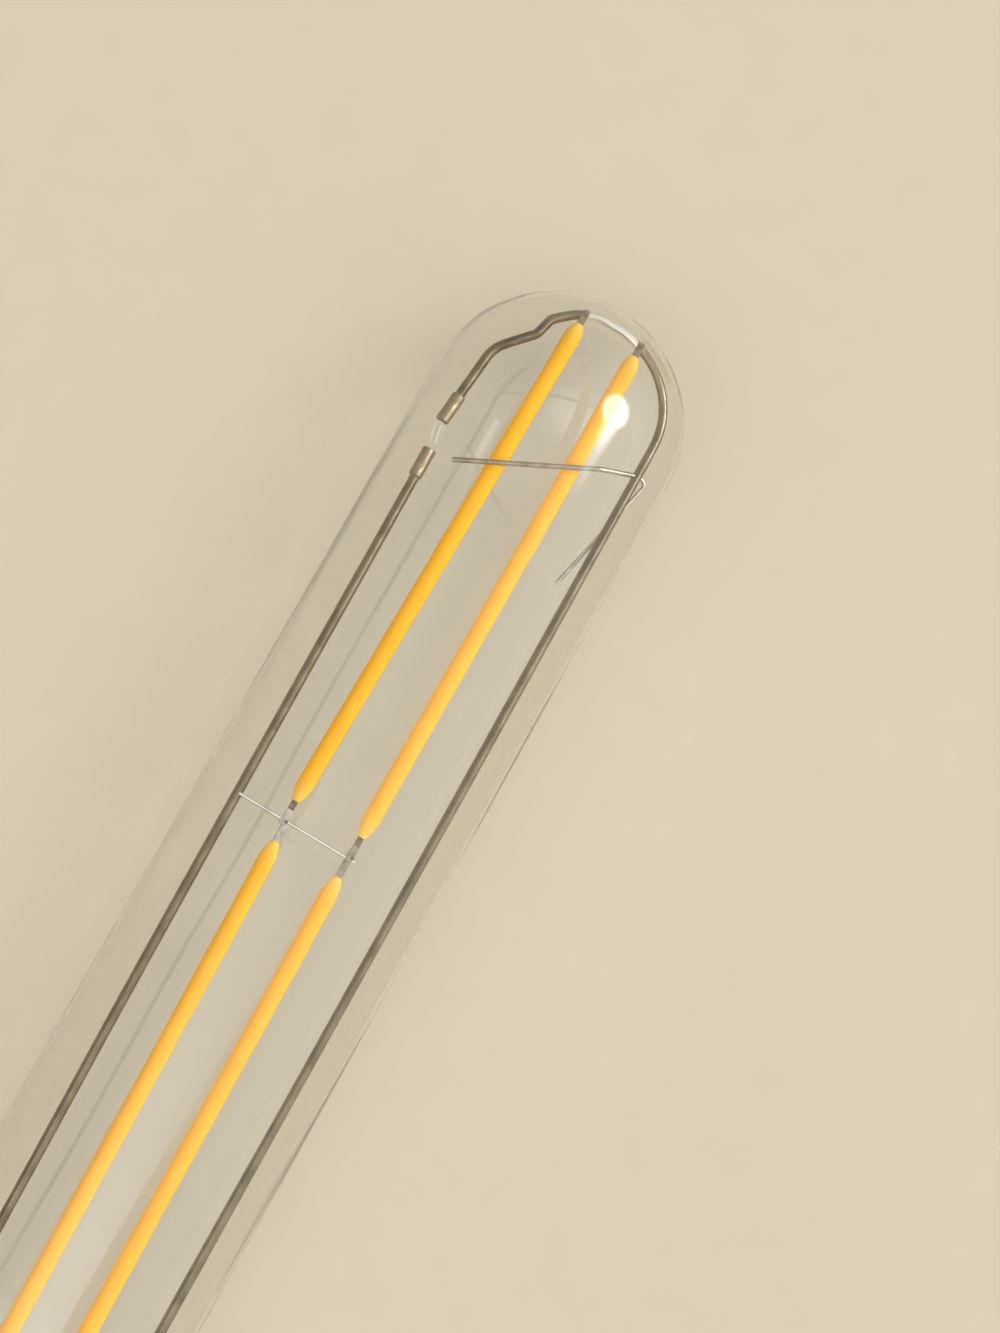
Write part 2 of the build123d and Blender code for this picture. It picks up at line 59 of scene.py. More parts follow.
# Glass stem.
# The foot of the lamp: a tube of soft glass flared out to the neck, its top pinched flat round the
# wires while hot, with the thin exhaust tube inside that was sealed off when the lamp was filled.
# The same glass, drawn to a thin rod, keeps the frame's two sleeves apart.
MM = 0.001
GLASS_IOR = 1.52
EDGE_BLEND = 0.25


def srgb(code):
    """Linear colour of an sRGB hex code."""
    parts = [int(code[i : i + 2], 16) / 255 for i in (1, 3, 5)]
    linear = [c / 12.92 if c <= 0.04045 else ((c + 0.055) / 1.055) ** 2.4 for c in parts]
    return (*linear, 1.0)


def node(tree, kind, inputs=(), **settings):
    """Adds a shader node with its settings; an input takes a value or another node's output."""
    made = tree.nodes.new("ShaderNode" + kind)
    for name, value in settings.items():
        setattr(made, name, value)
    for name, value in dict(inputs).items():
        if isinstance(value, bpy.types.NodeSocket):
            tree.links.new(value, made.inputs[name])
        else:
            made.inputs[name].default_value = value
    return made


def material(name):
    """An empty material, its node tree, and the lamp's own coordinates in metres."""
    made = bpy.data.materials.new(name)
    made.use_nodes = True
    made.node_tree.nodes.clear()
    return made, made.node_tree, node(made.node_tree, "TexCoord").outputs["Object"]


def show(tree, shader):
    """Puts a shader on the material's surface."""
    node(tree, "OutputMaterial", {"Surface": shader.outputs[0]})


def per_mm(size):
    """Texture scale that repeats once in a size in millimetres."""
    return 1 / (size * MM)


def dress(finish, *names):
    """Gives CAD nodes a finish."""
    for name in names:
        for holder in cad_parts[name].material_slots:
            holder.material = finish


def clear_glass(name, tint, edge, shade, ripple_mm, ripple_depth_mm, stretch):
    """Clear glass with soft ripples, a little greyer where the eye looks through more of it; lamp
    light passes to what is inside, a little dimmed."""
    made, tree, place = material(name)
    drawn = node(tree, "Mapping", {"Vector": place, "Scale": (1 / stretch, 1, 1)})
    waves = node(tree, "TexNoise", {"Vector": drawn.outputs[0], "Scale": per_mm(ripple_mm), "Detail": 1.0})
    ripple = node(tree, "Bump", {"Height": waves.outputs["Fac"], "Distance": ripple_depth_mm * MM})
    slant = node(tree, "LayerWeight", {"Blend": EDGE_BLEND}).outputs["Facing"]
    tone = node(tree, "Mix", {0: slant, 6: srgb(tint), 7: srgb(edge)}, data_type="RGBA")
    glass = node(
        tree,
        "BsdfPrincipled",
        {
            "Base Color": tone.outputs[2],
            "Roughness": 0.0,
            "IOR": GLASS_IOR,
            "Transmission Weight": 1.0,
            "Normal": ripple.outputs[0],
        },
    )
    clear = node(tree, "BsdfTransparent", {"Color": srgb(shade)})
    lamp_ray = node(tree, "LightPath").outputs["Is Shadow Ray"]
    show(tree, node(tree, "MixShader", {0: lamp_ray, 1: glass.outputs[0], 2: clear.outputs[0]}))
    return made


# Soft glass, pressed: clear, a little green in its thickness, with slow waves from the pinch.
soft_glass = clear_glass(
    "soft_glass_pressed",
    tint="#FAFCFA",
    edge="#E4EAE4",
    shade="#F6F8F6",
    ripple_mm=3.0,
    ripple_depth_mm=0.06,
    stretch=1.0,
)
dress(soft_glass, "stem_flare", "exhaust_tube", "bridge_rod")


# Seal wires and leads.
# Copper-clad wires that the press is fused to, each welded to a frame wire above it, and tinned
# copper leads that go on from them to the driver board in the cap.
LINE_STRETCH = 30.0
LINE_DEPTH = 0.02
WORN_FROM = 0.42
WORN_FULL = 0.66
SMOOTHEST = 0.75
ROUGHEST = 1.3


def drawn_metal(name, colour, worn, roughness, line_mm, patch_mm, painted_highlight="#FFFFFF"):
    """Drawn or rolled metal: fine lines along the lamp, slow patches of a second colour, and a third, a
    painted highlight, where a mesh marks it."""
    made, tree, place = material(name)
    along = node(tree, "Mapping", {"Vector": place, "Scale": (1 / LINE_STRETCH, 1, 1)})
    lines = node(tree, "TexNoise", {"Vector": along.outputs[0], "Scale": per_mm(line_mm), "Detail": 3.0})
    patches = node(tree, "TexNoise", {"Vector": place, "Scale": per_mm(patch_mm), "Detail": 4.0})
    worn_range = {"Value": patches.outputs["Fac"], "From Min": WORN_FROM, "From Max": WORN_FULL}
    worn_share = node(tree, "MapRange", worn_range)
    tone = node(tree, "Mix", {0: worn_share.outputs[0], 6: srgb(colour), 7: srgb(worn)}, data_type="RGBA")
    # Painted highlight: where the mesh marks it, the metal takes a pale colour that stands for a shine.
    highlight_mask = node(tree, "Attribute", attribute_name="painted_highlight").outputs["Fac"]
    face = node(tree, "Mix", {0: highlight_mask, 6: tone.outputs[2], 7: srgb(painted_highlight)}, data_type="RGBA")
    shine = {"Value": lines.outputs["Fac"], "To Min": roughness * SMOOTHEST, "To Max": roughness * ROUGHEST}
    rough = node(tree, "MapRange", shine)
    draw_marks = node(tree, "Bump", {"Height": lines.outputs["Fac"], "Distance": LINE_DEPTH * line_mm * MM})
    metal = node(
        tree,
        "BsdfPrincipled",
        {
            "Base Color": face.outputs[2],
            "Metallic": 1.0,
            "Roughness": rough.outputs[0],
            "Normal": draw_marks.outputs[0],
        },
    )
    show(tree, metal)
    return made


# Copper skin, drawn: dull red-brown, oxidised darker where the flame reached it.
copper_clad = drawn_metal(
    "copper_clad_wire_drawn", "#B0694A", worn="#7D4434", roughness=0.35, line_mm=0.12, patch_mm=1.5
)
dress(copper_clad, "left_seal_wire", "right_seal_wire")
# Tin on copper, dipped: soft grey white with a satin shine.
tinned = drawn_metal(
    "tinned_copper_dipped", "#C9C8C4", worn="#A9A7A1", roughness=0.32, line_mm=0.15, patch_mm=1.2
)
dress(tinned, "left_lead", "right_lead", "shell_tongue")


# Frame wires.
# Two stiff nickel-plated iron wires carry everything in the tube. The long one runs up the right
# side, arches over inside the dome and comes down to the upper sleeve; the short one runs up the
# left side to the lower sleeve. Both are bent by hand round formers, so no run is dead straight.
WIRE_D = 1.15
PRESS_PITCH = 7.0
PRESS_GRIP = 3.0
PRESS_LEAD = 0.5
SPLAY_L = 8.0
SPLAY_BEND_R = 2.5
LONG_Y = -11.525
SHORT_Y = 10.695
SIDE_LEAN = 1.2
SIDE_BOW = 0.22
ARCH_BEND_R = 9.6
CREST_END_Y = 2.9
CREST_WELD_Y = (-4.5, 2.9)
CREST_BOW = 0.36
CREST_BOW_Y = -0.9
CREST_BOW_HALF = 5.2
CREST_BEND_R = 5.5
JOG_TOP = (4.5, 6.0)
JOG_FOOT = (6.9, 6.6)
JOG_BEND_R = 1.6
SHOULDER = (10.9, 10.145)
SHOULDER_BEND_R = 4.5
LEG_FOOT = (21.25, 11.095)
SLEEVE_SPACING = 3.5
WIRE_STOP = 1.3
RUN_STEP = 4.0
HAND_SWAY = 0.035
SWAY_MM = 23.0
ARC_STEPS = 18
WIRE_SIDES = 28
CREASE = math.radians(40)
MERGE_DISTANCE = 1e-7

tip_x = cad_high.x / MM
axis_z = (cad_low.z + cad_high.z) / 2 / MM


def at(from_tip, y, z=0.0):
    """A place in millimetres: its distance from the tip, across the lamp and above its axis."""
    return Vector((tip_x - from_tip, y, axis_z + z))


def middle_from_tip(name):
    """How far from the tip the middle of a CAD node lies."""
    low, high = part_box(name)
    return tip_x - (low.x + high.x) / 2 / MM


def bend(corners, radii):
    """Points along straight runs joined by tangent arcs, as wire is bent round formers."""
    path = [corners[0]]
    for before, corner, after, radius in zip(corners, corners[1:], corners[2:], radii):
        into = (corner - before).normalized()
        out = (after - corner).normalized()
        turn = into.angle(out)
        start = corner - into * (radius * math.tan(turn / 2))
        inward = (out - into).normalized()
        centre = corner + inward * (radius / math.cos(turn / 2))
        arm = start - centre
        for step in range(ARC_STEPS + 1):
            angle = turn * step / ARC_STEPS
            path.append(centre + arm * math.cos(angle) + into * (radius * math.sin(angle)))
    return path + [corners[-1]]


def by_hand(path, sway=HAND_SWAY):
    """The same path in short steps, with the slight sway of hand-set wire across the frame."""
    points = []
    for start, end in zip(path, path[1:]):
        steps = max(1, round((end - start).length / RUN_STEP))
        points += [start.lerp(end, i / steps) for i in range(steps)]
    points.append(path[-1])
    return [p + Vector((0, sway * noise.noise(p / SWAY_MM), 0)) for p in points]


def ring(centre, along, radius, sides):
    """A circle of points round a place on a path."""
    side = along.cross(Vector((0, 0, 1))).normalized()
    up = side.cross(along).normalized()
    turns = [math.tau * i / sides for i in range(sides)]
    return [centre + side * (radius * math.cos(t)) + up * (radius * math.sin(t)) for t in turns]


def swept(path, radius):
    """Rings of a round wire along a path."""
    ahead = path[1:] + [path[-1] * 2 - path[-2]]
    behind = [path[0] * 2 - path[1]] + path[:-1]
    return [ring(p, (b - a).normalized(), radius, WIRE_SIDES) for a, p, b in zip(behind, path, ahead)]


def skin(rings, ends="capped"):
    """Vertices and faces over a row of equal rings, capped or joined from the last to the first."""
    count = len(rings[0])
    points = [p for one in rings for p in one]
    pairs = list(zip(range(len(rings)), range(1, len(rings))))
    if ends == "joined":
        pairs.append((len(rings) - 1, 0))
    faces = []
    for a, b in pairs:
        for i in range(count):
            j = (i + 1) % count
            faces.append((a * count + i, a * count + j, b * count + j, b * count + i))
    if ends == "capped":
        faces.append(tuple(reversed(range(count))))
        faces.append(tuple(range((len(rings) - 1) * count, len(rings) * count)))
    return points, faces


def piece(name, shapes, finish, slot, *nodes):
    """A new piece on the lamp's body, from one or more shapes in millimetres."""
    mesh = bpy.data.meshes.new(name)
    points = []
    faces = []
    for shape_points, shape_faces in shapes:
        faces += [tuple(len(points) + i for i in face) for face in shape_faces]
        points += [p * MM for p in shape_points]
    mesh.from_pydata(points, [], faces)
    work = bmesh.new()
    work.from_mesh(mesh)
    bmesh.ops.remove_doubles(work, verts=work.verts, dist=MERGE_DISTANCE)
    bmesh.ops.recalc_face_normals(work, faces=work.faces)
    work.to_mesh(mesh)
    work.free()
    mesh.shade_smooth()
    mesh.set_sharp_from_angle(angle=CREASE)
    mesh.materials.append(finish)
    made = bpy.data.objects.new(name, mesh)
    bpy.context.scene.collection.objects.link(made)
    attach(made, "root")
    if nodes:
        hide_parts(*nodes)
    return made


# Nickel on iron, drawn: warm dark grey from the firing, with a hard narrow shine along each run, and a
# painted highlight of bright silver on the crest between the welds.
nickel_wire = drawn_metal(
    "nickel_plated_iron_drawn",
    "#8E826A",
    worn="#6E624C",
    roughness=0.24,
    line_mm=0.1,
    patch_mm=2.5,
    painted_highlight="#F4F1E9",
)

press_top = tip_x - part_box("stem_flare")[1].x / MM
splay_foot = press_top - PRESS_LEAD
splay_top = splay_foot - SPLAY_L
wire_foot = press_top + PRESS_GRIP
press_y = PRESS_PITCH / 2
crest = tip_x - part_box("arch_wire")[1].x / MM + WIRE_D / 2
shoulder = at(*SHOULDER)
leg_foot = at(*LEG_FOOT)
leg_dir = (leg_foot - shoulder).normalized()
arch_corners = [
    at(wire_foot, -press_y),
    at(splay_foot, -press_y),
    at(splay_top, LONG_Y),
    at(crest, LONG_Y),
    at(crest, CREST_END_Y),
    at(*JOG_TOP),
    at(*JOG_FOOT),
    shoulder,
    leg_foot - leg_dir * WIRE_STOP,
]
arch_radii = [
    SPLAY_BEND_R,
    SPLAY_BEND_R,
    ARCH_BEND_R,
    CREST_BEND_R,
    JOG_BEND_R,
    JOG_BEND_R,
    SHOULDER_BEND_R,
]
arch_path = by_hand(bend(arch_corners, arch_radii))
for place in arch_path:
    share = (place.y - CREST_BOW_Y) / CREST_BOW_HALF
    if abs(share) < 1 and place.x > shoulder.x:
        place.x += CREST_BOW * math.cos(math.pi / 2 * share) ** 2
arch_shape = skin(swept(arch_path, WIRE_D / 2))
arch = piece("arch_wire_bent", [arch_shape], nickel_wire, "nickel_wire", "arch_wire")
# Marks the crest between the welds for the painted highlight.
painted_highlight = arch.data.attributes.new("painted_highlight", "FLOAT", "POINT")
right_weld_y, left_weld_y = CREST_WELD_Y
for mark, vertex in zip(painted_highlight.data, arch.data.vertices):
    over_shoulder = vertex.co.x > shoulder.x * MM
    mark.value = float(over_shoulder and right_weld_y < vertex.co.y / MM < left_weld_y)

lower_sleeve_top = at(LEG_FOOT[0] + SLEEVE_SPACING, SHORT_Y)
side_foot = at(splay_top, SHORT_Y - SIDE_LEAN)
side_dir = (side_foot - lower_sleeve_top).normalized()
side_top = lower_sleeve_top + side_dir * WIRE_STOP
side_corners = [at(wire_foot, press_y), at(splay_foot, press_y), side_foot, side_top]
side_path = by_hand(bend(side_corners, [SPLAY_BEND_R, SPLAY_BEND_R]))
side_run = side_top.x - side_foot.x
for place in side_path:
    share = min(max((place.x - side_foot.x) / side_run, 0.0), 1.0)
    place.y += SIDE_BOW * math.sin(math.pi * share) ** 2
piece("side_wire_bent", [skin(swept(side_path, WIRE_D / 2))], nickel_wire, "nickel_wire", "side_wire")


# Sleeves.
# Short nickel tubes pushed over the two wire ends and crimped there. Each grips a frame wire in one
# end and the clear glass rod in the other, so the frame is stiff but its two halves stay insulated.
SLEEVE_L = 3.55
SLEEVE_BORE_D = 1.19
SLEEVE_D = 1.59
SLEEVE_ROUND = 0.09
CRIMP_DEPTH = 0.07
CRIMP_HALF_L = 0.45
CRIMP_FLATNESS = 4
UPPER_CRIMP = 1.2
LOWER_CRIMP = 2.4
SLEEVE_SIDES = 40
SLEEVE_STEPS = 36

# Nickel tube, drawn and annealed: a brown grey with a softer shine than the wires.
annealed_tube = drawn_metal(
    "nickel_tube_annealed", "#A2937A", worn="#887A62", roughness=0.42, line_mm=0.14, patch_mm=1.6
)


def sleeve(name, top, foot, crimp_at, replaced):
    """A tube with rounded lips, pinched from above and below at a distance from its top."""
    along = (foot - top).normalized()
    rings = []
    for step in range(SLEEVE_STEPS + 1):
        run = SLEEVE_L * (1 - math.cos(math.pi * step / SLEEVE_STEPS)) / 2
        edge = min(run, SLEEVE_L - run)
        lip = max(0.0, SLEEVE_ROUND - edge)
        radius = SLEEVE_D / 2 - SLEEVE_ROUND + math.sqrt(SLEEVE_ROUND**2 - lip**2)
        pinch = CRIMP_DEPTH * math.exp(-(((run - crimp_at) / CRIMP_HALF_L) ** 2))
        circle = ring(Vector(), along, 1.0, SLEEVE_SIDES)
        centre = top + along * run
        rings.append([centre + p * (radius - pinch * p.z**CRIMP_FLATNESS) for p in circle])
    bore = [ring(end, along, SLEEVE_BORE_D / 2, SLEEVE_SIDES) for end in (foot, top)]
    piece(name, [skin(rings + bore, "joined")], annealed_tube, "sleeve_nickel", replaced)


upper_sleeve_top = leg_foot - leg_dir * SLEEVE_L
lower_sleeve_foot = lower_sleeve_top + side_dir * SLEEVE_L
sleeve("upper_sleeve_crimped", upper_sleeve_top, leg_foot, UPPER_CRIMP, "upper_sleeve")
sleeve("lower_sleeve_crimped", lower_sleeve_top, lower_sleeve_foot, LOWER_CRIMP, "lower_sleeve")


# Anchor and cross wires.
# A thin wire welded to the long frame wire lies across the upper filaments and holds them down; a
# fine tinned tie hooked round the long wire there has its tail left long. A bright wire from the
# short frame wire joins the two rows of filaments, and one from the long wire the lower feet.
ANCHOR_D = 0.6
ANCHOR_START = (15.2, LONG_Y)
ANCHOR_KNEE = (17.1, -7.2)
ANCHOR_END = (24.85, 8.05)
ANCHOR_Z = 2.005
ANCHOR_BEND_R = 3.0
TIE_D = 0.48
TIE_ROOT = (14.9, -11.5, -0.45)
TIE_HOOK = (15.45, -13.05, -0.75)
TIE_TAIL = (30.5, -9.5, -0.9)
TIE_BEND_R = 0.6
CROSS_D = 0.45
MIDDLE_Z = 0.35
MIDDLE_TILT = 0.2
MIDDLE_END_Y = -4.8
LOWER_Z = -0.34
LOWER_END_Y = 4.85

# Nickel, drawn thin and not fired: paler than the frame wires, with the same hard shine.
thin_nickel = drawn_metal(
    "nickel_wire_thin_drawn", "#BDB4A1", worn="#9A907B", roughness=0.24, line_mm=0.1, patch_mm=2.0
)
# Bright nickel, drawn fine: pale silver with a sharp shine.
bright_wire = drawn_metal(
    "bright_nickel_drawn", "#F0EDE6", worn="#DDD8CD", roughness=0.2, line_mm=0.08, patch_mm=1.8
)

anchor_corners = [at(*ANCHOR_START), at(*ANCHOR_KNEE, ANCHOR_Z), at(*ANCHOR_END, ANCHOR_Z)]
anchor_path = by_hand(bend(anchor_corners, [ANCHOR_BEND_R]))
anchor_shape = skin(swept(anchor_path, ANCHOR_D / 2))
piece("anchor_wire_bent", [anchor_shape], thin_nickel, "nickel_wire", "anchor_wire")

tie_path = by_hand(bend([at(*TIE_ROOT), at(*TIE_HOOK), at(*TIE_TAIL)], [TIE_BEND_R]))
piece("anchor_tie_wire", [skin(swept(tie_path, TIE_D / 2))], tinned, "tinned_lead")

middle_cross = middle_from_tip("middle_cross_wire")
lower_cross = middle_from_tip("lower_cross_wire")
middle_start_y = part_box("middle_cross_wire")[1].y / MM
middle_ends = [
    at(middle_cross - MIDDLE_TILT, middle_start_y, MIDDLE_Z),
    at(middle_cross + MIDDLE_TILT, MIDDLE_END_Y, MIDDLE_Z),
]
lower_ends = [at(lower_cross, LONG_Y, LOWER_Z), at(lower_cross, LOWER_END_Y, LOWER_Z)]
for name, ends in (("middle_cross_wire", middle_ends), ("lower_cross_wire", lower_ends)):
    shape = skin(swept(by_hand(ends, sway=0.0), CROSS_D / 2))
    piece(name + "_drawn", [shape], bright_wire, "bright_wire", name)


# Filaments.
# Four alike in two rows: a white ceramic strip with a row of light-emitting chips, buried in a bead
# of silicone filled with yellow phosphor that was run on and cured, with a stamped metal tab at each
# end spot-welded to a frame or cross wire.
COAT_L = 63.3
COAT_D = 2.04
COAT_END_D = 0.82
COAT_NOSE_L = 2.3
ARCH_NOSE_L = 1.5
COAT_NOSE_POWER = 1.45
COAT_UNEVEN = 0.03
COAT_UNEVEN_MM = 4.5
COAT_SIDES = 32
COAT_STEP = 0.8
NOSE_STEPS = 12
STRIP_W = 0.8
STRIP_T = 0.24
STRIP_INSET = 1.2
TAB_ON_ARCH = 1.45
TAB_ON_CROSS = 2.5
TAB_END = 0.55
TAB_NECK_L = 1.05
TAB_NECK_W = 0.72
TAB_CORNER_R = 0.18
TAB_EDGE = 0.04
TAB_CORNER_STEPS = 5
ARCH_WELD_R = 0.32
CROSS_WELD_R = 0.2
CROSS_WELD_SIDE = 0.3
WELD_H = 0.1
WELD_STEPS = 5
UPPER_Z = 0.695
LOWER_ROW_Z = 0.005
UPPER_FOOT_Y = (-4.0, 4.45)
LOWER_TOP_Y = (-4.0, 4.05)
LOWER_FOOT_Y = (-4.5, 3.0)
NOSE_FADE = 1.25
COAT_CLOUD_MM = 2.2
COAT_GRAIN_MM = 0.22
COAT_GRAIN_H = 0.02
CERAMIC_GRAIN_MM = 0.4
SAW_MARK_MM = 0.3


def phosphor():
    """Silicone with phosphor, run on and cured: dense warm yellow, satin, faintly grainy, paler at the
    ends, where it thins out over the tab. It has a faint painted glow in its own colour as well, which
    stands for the blue of the room's light that it turns to yellow and lifts its shaded side."""
    made, tree, place = material("phosphor_silicone_cured")
    cloud = node(tree, "TexNoise", {"Vector": place, "Scale": per_mm(COAT_CLOUD_MM), "Detail": 3.0})
    hues = {0: cloud.outputs["Fac"], 6: srgb("#E9B008"), 7: srgb("#E3A506")}
    body = node(tree, "Mix", hues, data_type="RGBA")
    nose = node(tree, "Attribute", attribute_name="nose").outputs["Fac"]
    tone = node(tree, "Mix", {0: nose, 6: body.outputs[2], 7: srgb("#E3B548")}, data_type="RGBA")
    # The powder is a few hundredths of a millimetre; it is drawn coarser so that it shows.
    grains = node(tree, "TexNoise", {"Vector": place, "Scale": per_mm(COAT_GRAIN_MM), "Detail": 2.0})
    relief = {"Height": grains.outputs["Fac"], "Distance": COAT_GRAIN_H * MM, "Strength": 0.5}
    grain = node(tree, "Bump", relief)
    silicone = node(
        tree,
        "BsdfPrincipled",
        {
            "Base Color": tone.outputs[2],
            "Roughness": 0.48,
            "IOR": 1.41,
            "Specular IOR Level": 0.2,
            "Subsurface Weight": 1.0,
            "Subsurface Radius": (1.0, 0.92, 0.35),
            "Subsurface Scale": 2.0 * MM,
            # Painted glow: a faint emission in the coat's own colour, so its shaded side stays bright.
            "Emission Color": tone.outputs[2],
            "Emission Strength": 0.22,
            "Normal": grain.outputs[0],
        },
    )
    show(tree, silicone)
    return made


def fired_ceramic():
    """Alumina, fired: matt white, with the faint mottle of its grain."""
    made, tree, place = material("alumina_fired")
    mottle = node(tree, "TexNoise", {"Vector": place, "Scale": per_mm(CERAMIC_GRAIN_MM), "Detail": 2.0})
    whites = {0: mottle.outputs["Fac"], 6: srgb("#EFEDE6"), 7: srgb("#E2DFD6")}
    tone = node(tree, "Mix", whites, data_type="RGBA")
    show(tree, node(tree, "BsdfPrincipled", {"Base Color": tone.outputs[2], "Roughness": 0.6}))
    return made


def polished_chip():
    """Sapphire chip, sawn and polished: clear blue grey, glossy, with small saw marks."""
    made, tree, place = material("sapphire_chip_polished")
    marks = node(tree, "TexNoise", {"Vector": place, "Scale": per_mm(SAW_MARK_MM), "Detail": 2.0})
    blues = {0: marks.outputs["Fac"], 6: srgb("#A9AFC4"), 7: srgb("#8E95AD")}
    tone = node(tree, "Mix", blues, data_type="RGBA")
    sapphire = {"Base Color": tone.outputs[2], "Roughness": 0.15, "IOR": 1.77}
    show(tree, node(tree, "BsdfPrincipled", sapphire))
    return made


yellow_coat = phosphor()
white_strip = fired_ceramic()
blue_chip = polished_chip()
# Nickel steel, stamped: plain pale grey with small dull patches.
tab_steel = drawn_metal(
    "nickel_steel_stamped", "#CFCBC1", worn="#A8A296", roughness=0.34, line_mm=0.1, patch_mm=0.8
)
# The same steel, dulled: brown grey, used on the tabs on the right side.
dulled_steel = drawn_metal(
    "nickel_steel_dulled", "#A89D89", worn="#867B68", roughness=0.4, line_mm=0.1, patch_mm=0.8
)
# The same steel, brown black: on the tabs welded to the arch and on the narrow necks at the filaments'
# feet.
dark_tab_steel = drawn_metal(
    "nickel_steel_dark", "#867A62", worn="#4E4536", roughness=0.4, line_mm=0.1, patch_mm=0.5
)
# Weld metal, melted and frozen: small dark grey domes, dull from the spark.
weld_metal = drawn_metal(
    "weld_nugget_frozen", "#6E675B", worn="#4F483D", roughness=0.42, line_mm=0.1, patch_mm=0.4
)


def coat_radius(run, nose_l):
    """The bead's radius at a distance from its end: a blunt nose, then nearly even."""
    if run >= nose_l:
        return COAT_D / 2
    rise = (1 - (1 - run / nose_l) ** COAT_NOSE_POWER) ** (1 / COAT_NOSE_POWER)
    return COAT_END_D / 2 + (COAT_D - COAT_END_D) / 2 * rise


def coat(name, start, along, top_nose_l, replaced):
    """One bead of phosphor, slightly uneven, marked where its ends grow pale."""
    nose_runs = [COAT_NOSE_L * (i / NOSE_STEPS) ** 2 for i in range(NOSE_STEPS)]
    body_steps = round((COAT_L - 2 * COAT_NOSE_L) / COAT_STEP)
    body_step = (COAT_L - 2 * COAT_NOSE_L) / body_steps
    runs = nose_runs + [COAT_NOSE_L + body_step * i for i in range(body_steps + 1)]
    runs += [COAT_L - run for run in reversed(nose_runs)]
    rings = []
    for run in runs:
        centre = start + along * run
        uneven = COAT_UNEVEN * noise.noise(centre / COAT_UNEVEN_MM)
        radius = min(coat_radius(run, top_nose_l), coat_radius(COAT_L - run, COAT_NOSE_L))
        rings.append(ring(centre, along, radius * (1 + uneven), COAT_SIDES))
    made = piece(name, [skin(rings)], yellow_coat, "yellow_phosphor", replaced)
    nose = made.data.attributes.new("nose", "FLOAT", "POINT")
    for mark, vertex in zip(nose.data, made.data.vertices):
        run = (vertex.co / MM - start).dot(along)
        from_end = min(run, COAT_L - run) / COAT_NOSE_L
        mark.value = min(max(NOSE_FADE - from_end, 0.0), 1.0)


def plate(middle, along, length, width, thick):
    """A stamped strip with rounded corners and broken edges."""
    across = Vector((0, 0, 1)).cross(along).normalized()
    to_end = along * (length / 2 - TAB_CORNER_R)
    to_side = across * (width / 2 - TAB_CORNER_R)

    def outline(inset, z):
        corner_r = TAB_CORNER_R - inset
        points = []
        for quarter, (end, side) in enumerate(((1, 1), (-1, 1), (-1, -1), (1, -1))):
            centre = to_end * end + to_side * side
            for step in range(TAB_CORNER_STEPS):
                angle = math.pi / 2 * (quarter + step / (TAB_CORNER_STEPS - 1))
                turn = along * math.cos(angle) + across * math.sin(angle)
                points.append(middle + centre + turn * corner_r + Vector((0, 0, z)))
        return points

    half = thick / 2
    levels = [(TAB_EDGE, -half), (0.0, TAB_EDGE - half), (0.0, half - TAB_EDGE), (TAB_EDGE, half)]
    return skin([outline(inset, z) for inset, z in levels])


def weld(middle, radius, height):
    """A low round nugget, proud of the tab or wire that it was struck through."""
    turns = [math.tau * i / WIRE_SIDES for i in range(WIRE_SIDES)]
    rings = []
    for step in range(WELD_STEPS):
        angle = math.pi / 2 * step / WELD_STEPS
        r = radius * math.cos(angle)
        z = height * math.sin(angle)
        rings.append([middle + Vector((r * math.cos(t), r * math.sin(t), z)) for t in turns])
    return skin(rings)


upper_left_top = tip_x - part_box("upper_left_top_tab")[1].x / MM + TAB_END
upper_right_top = tip_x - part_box("upper_right_top_tab")[1].x / MM + TAB_END
upper_right_foot_y, upper_left_foot_y = UPPER_FOOT_Y
lower_right_top_y, lower_left_top_y = LOWER_TOP_Y
lower_right_foot_y, lower_left_foot_y = LOWER_FOOT_Y
strands = (
    (
        "upper_left",
        at(upper_left_top, left_weld_y, UPPER_Z),
        at(middle_cross, upper_left_foot_y, UPPER_Z),
        TAB_ON_ARCH,
    ),
    (
        "upper_right",
        at(upper_right_top, right_weld_y, UPPER_Z),
        at(middle_cross, upper_right_foot_y, UPPER_Z),
        TAB_ON_ARCH,
    ),
    (
        "lower_left",
        at(middle_cross, lower_left_top_y, LOWER_ROW_Z),
        at(lower_cross, lower_left_foot_y, LOWER_ROW_Z),
        TAB_ON_CROSS,
    ),
    (
        "lower_right",
        at(middle_cross, lower_right_top_y, LOWER_ROW_Z),
        at(lower_cross, lower_right_foot_y, LOWER_ROW_Z),
        TAB_ON_CROSS,
    ),
)
welds = []
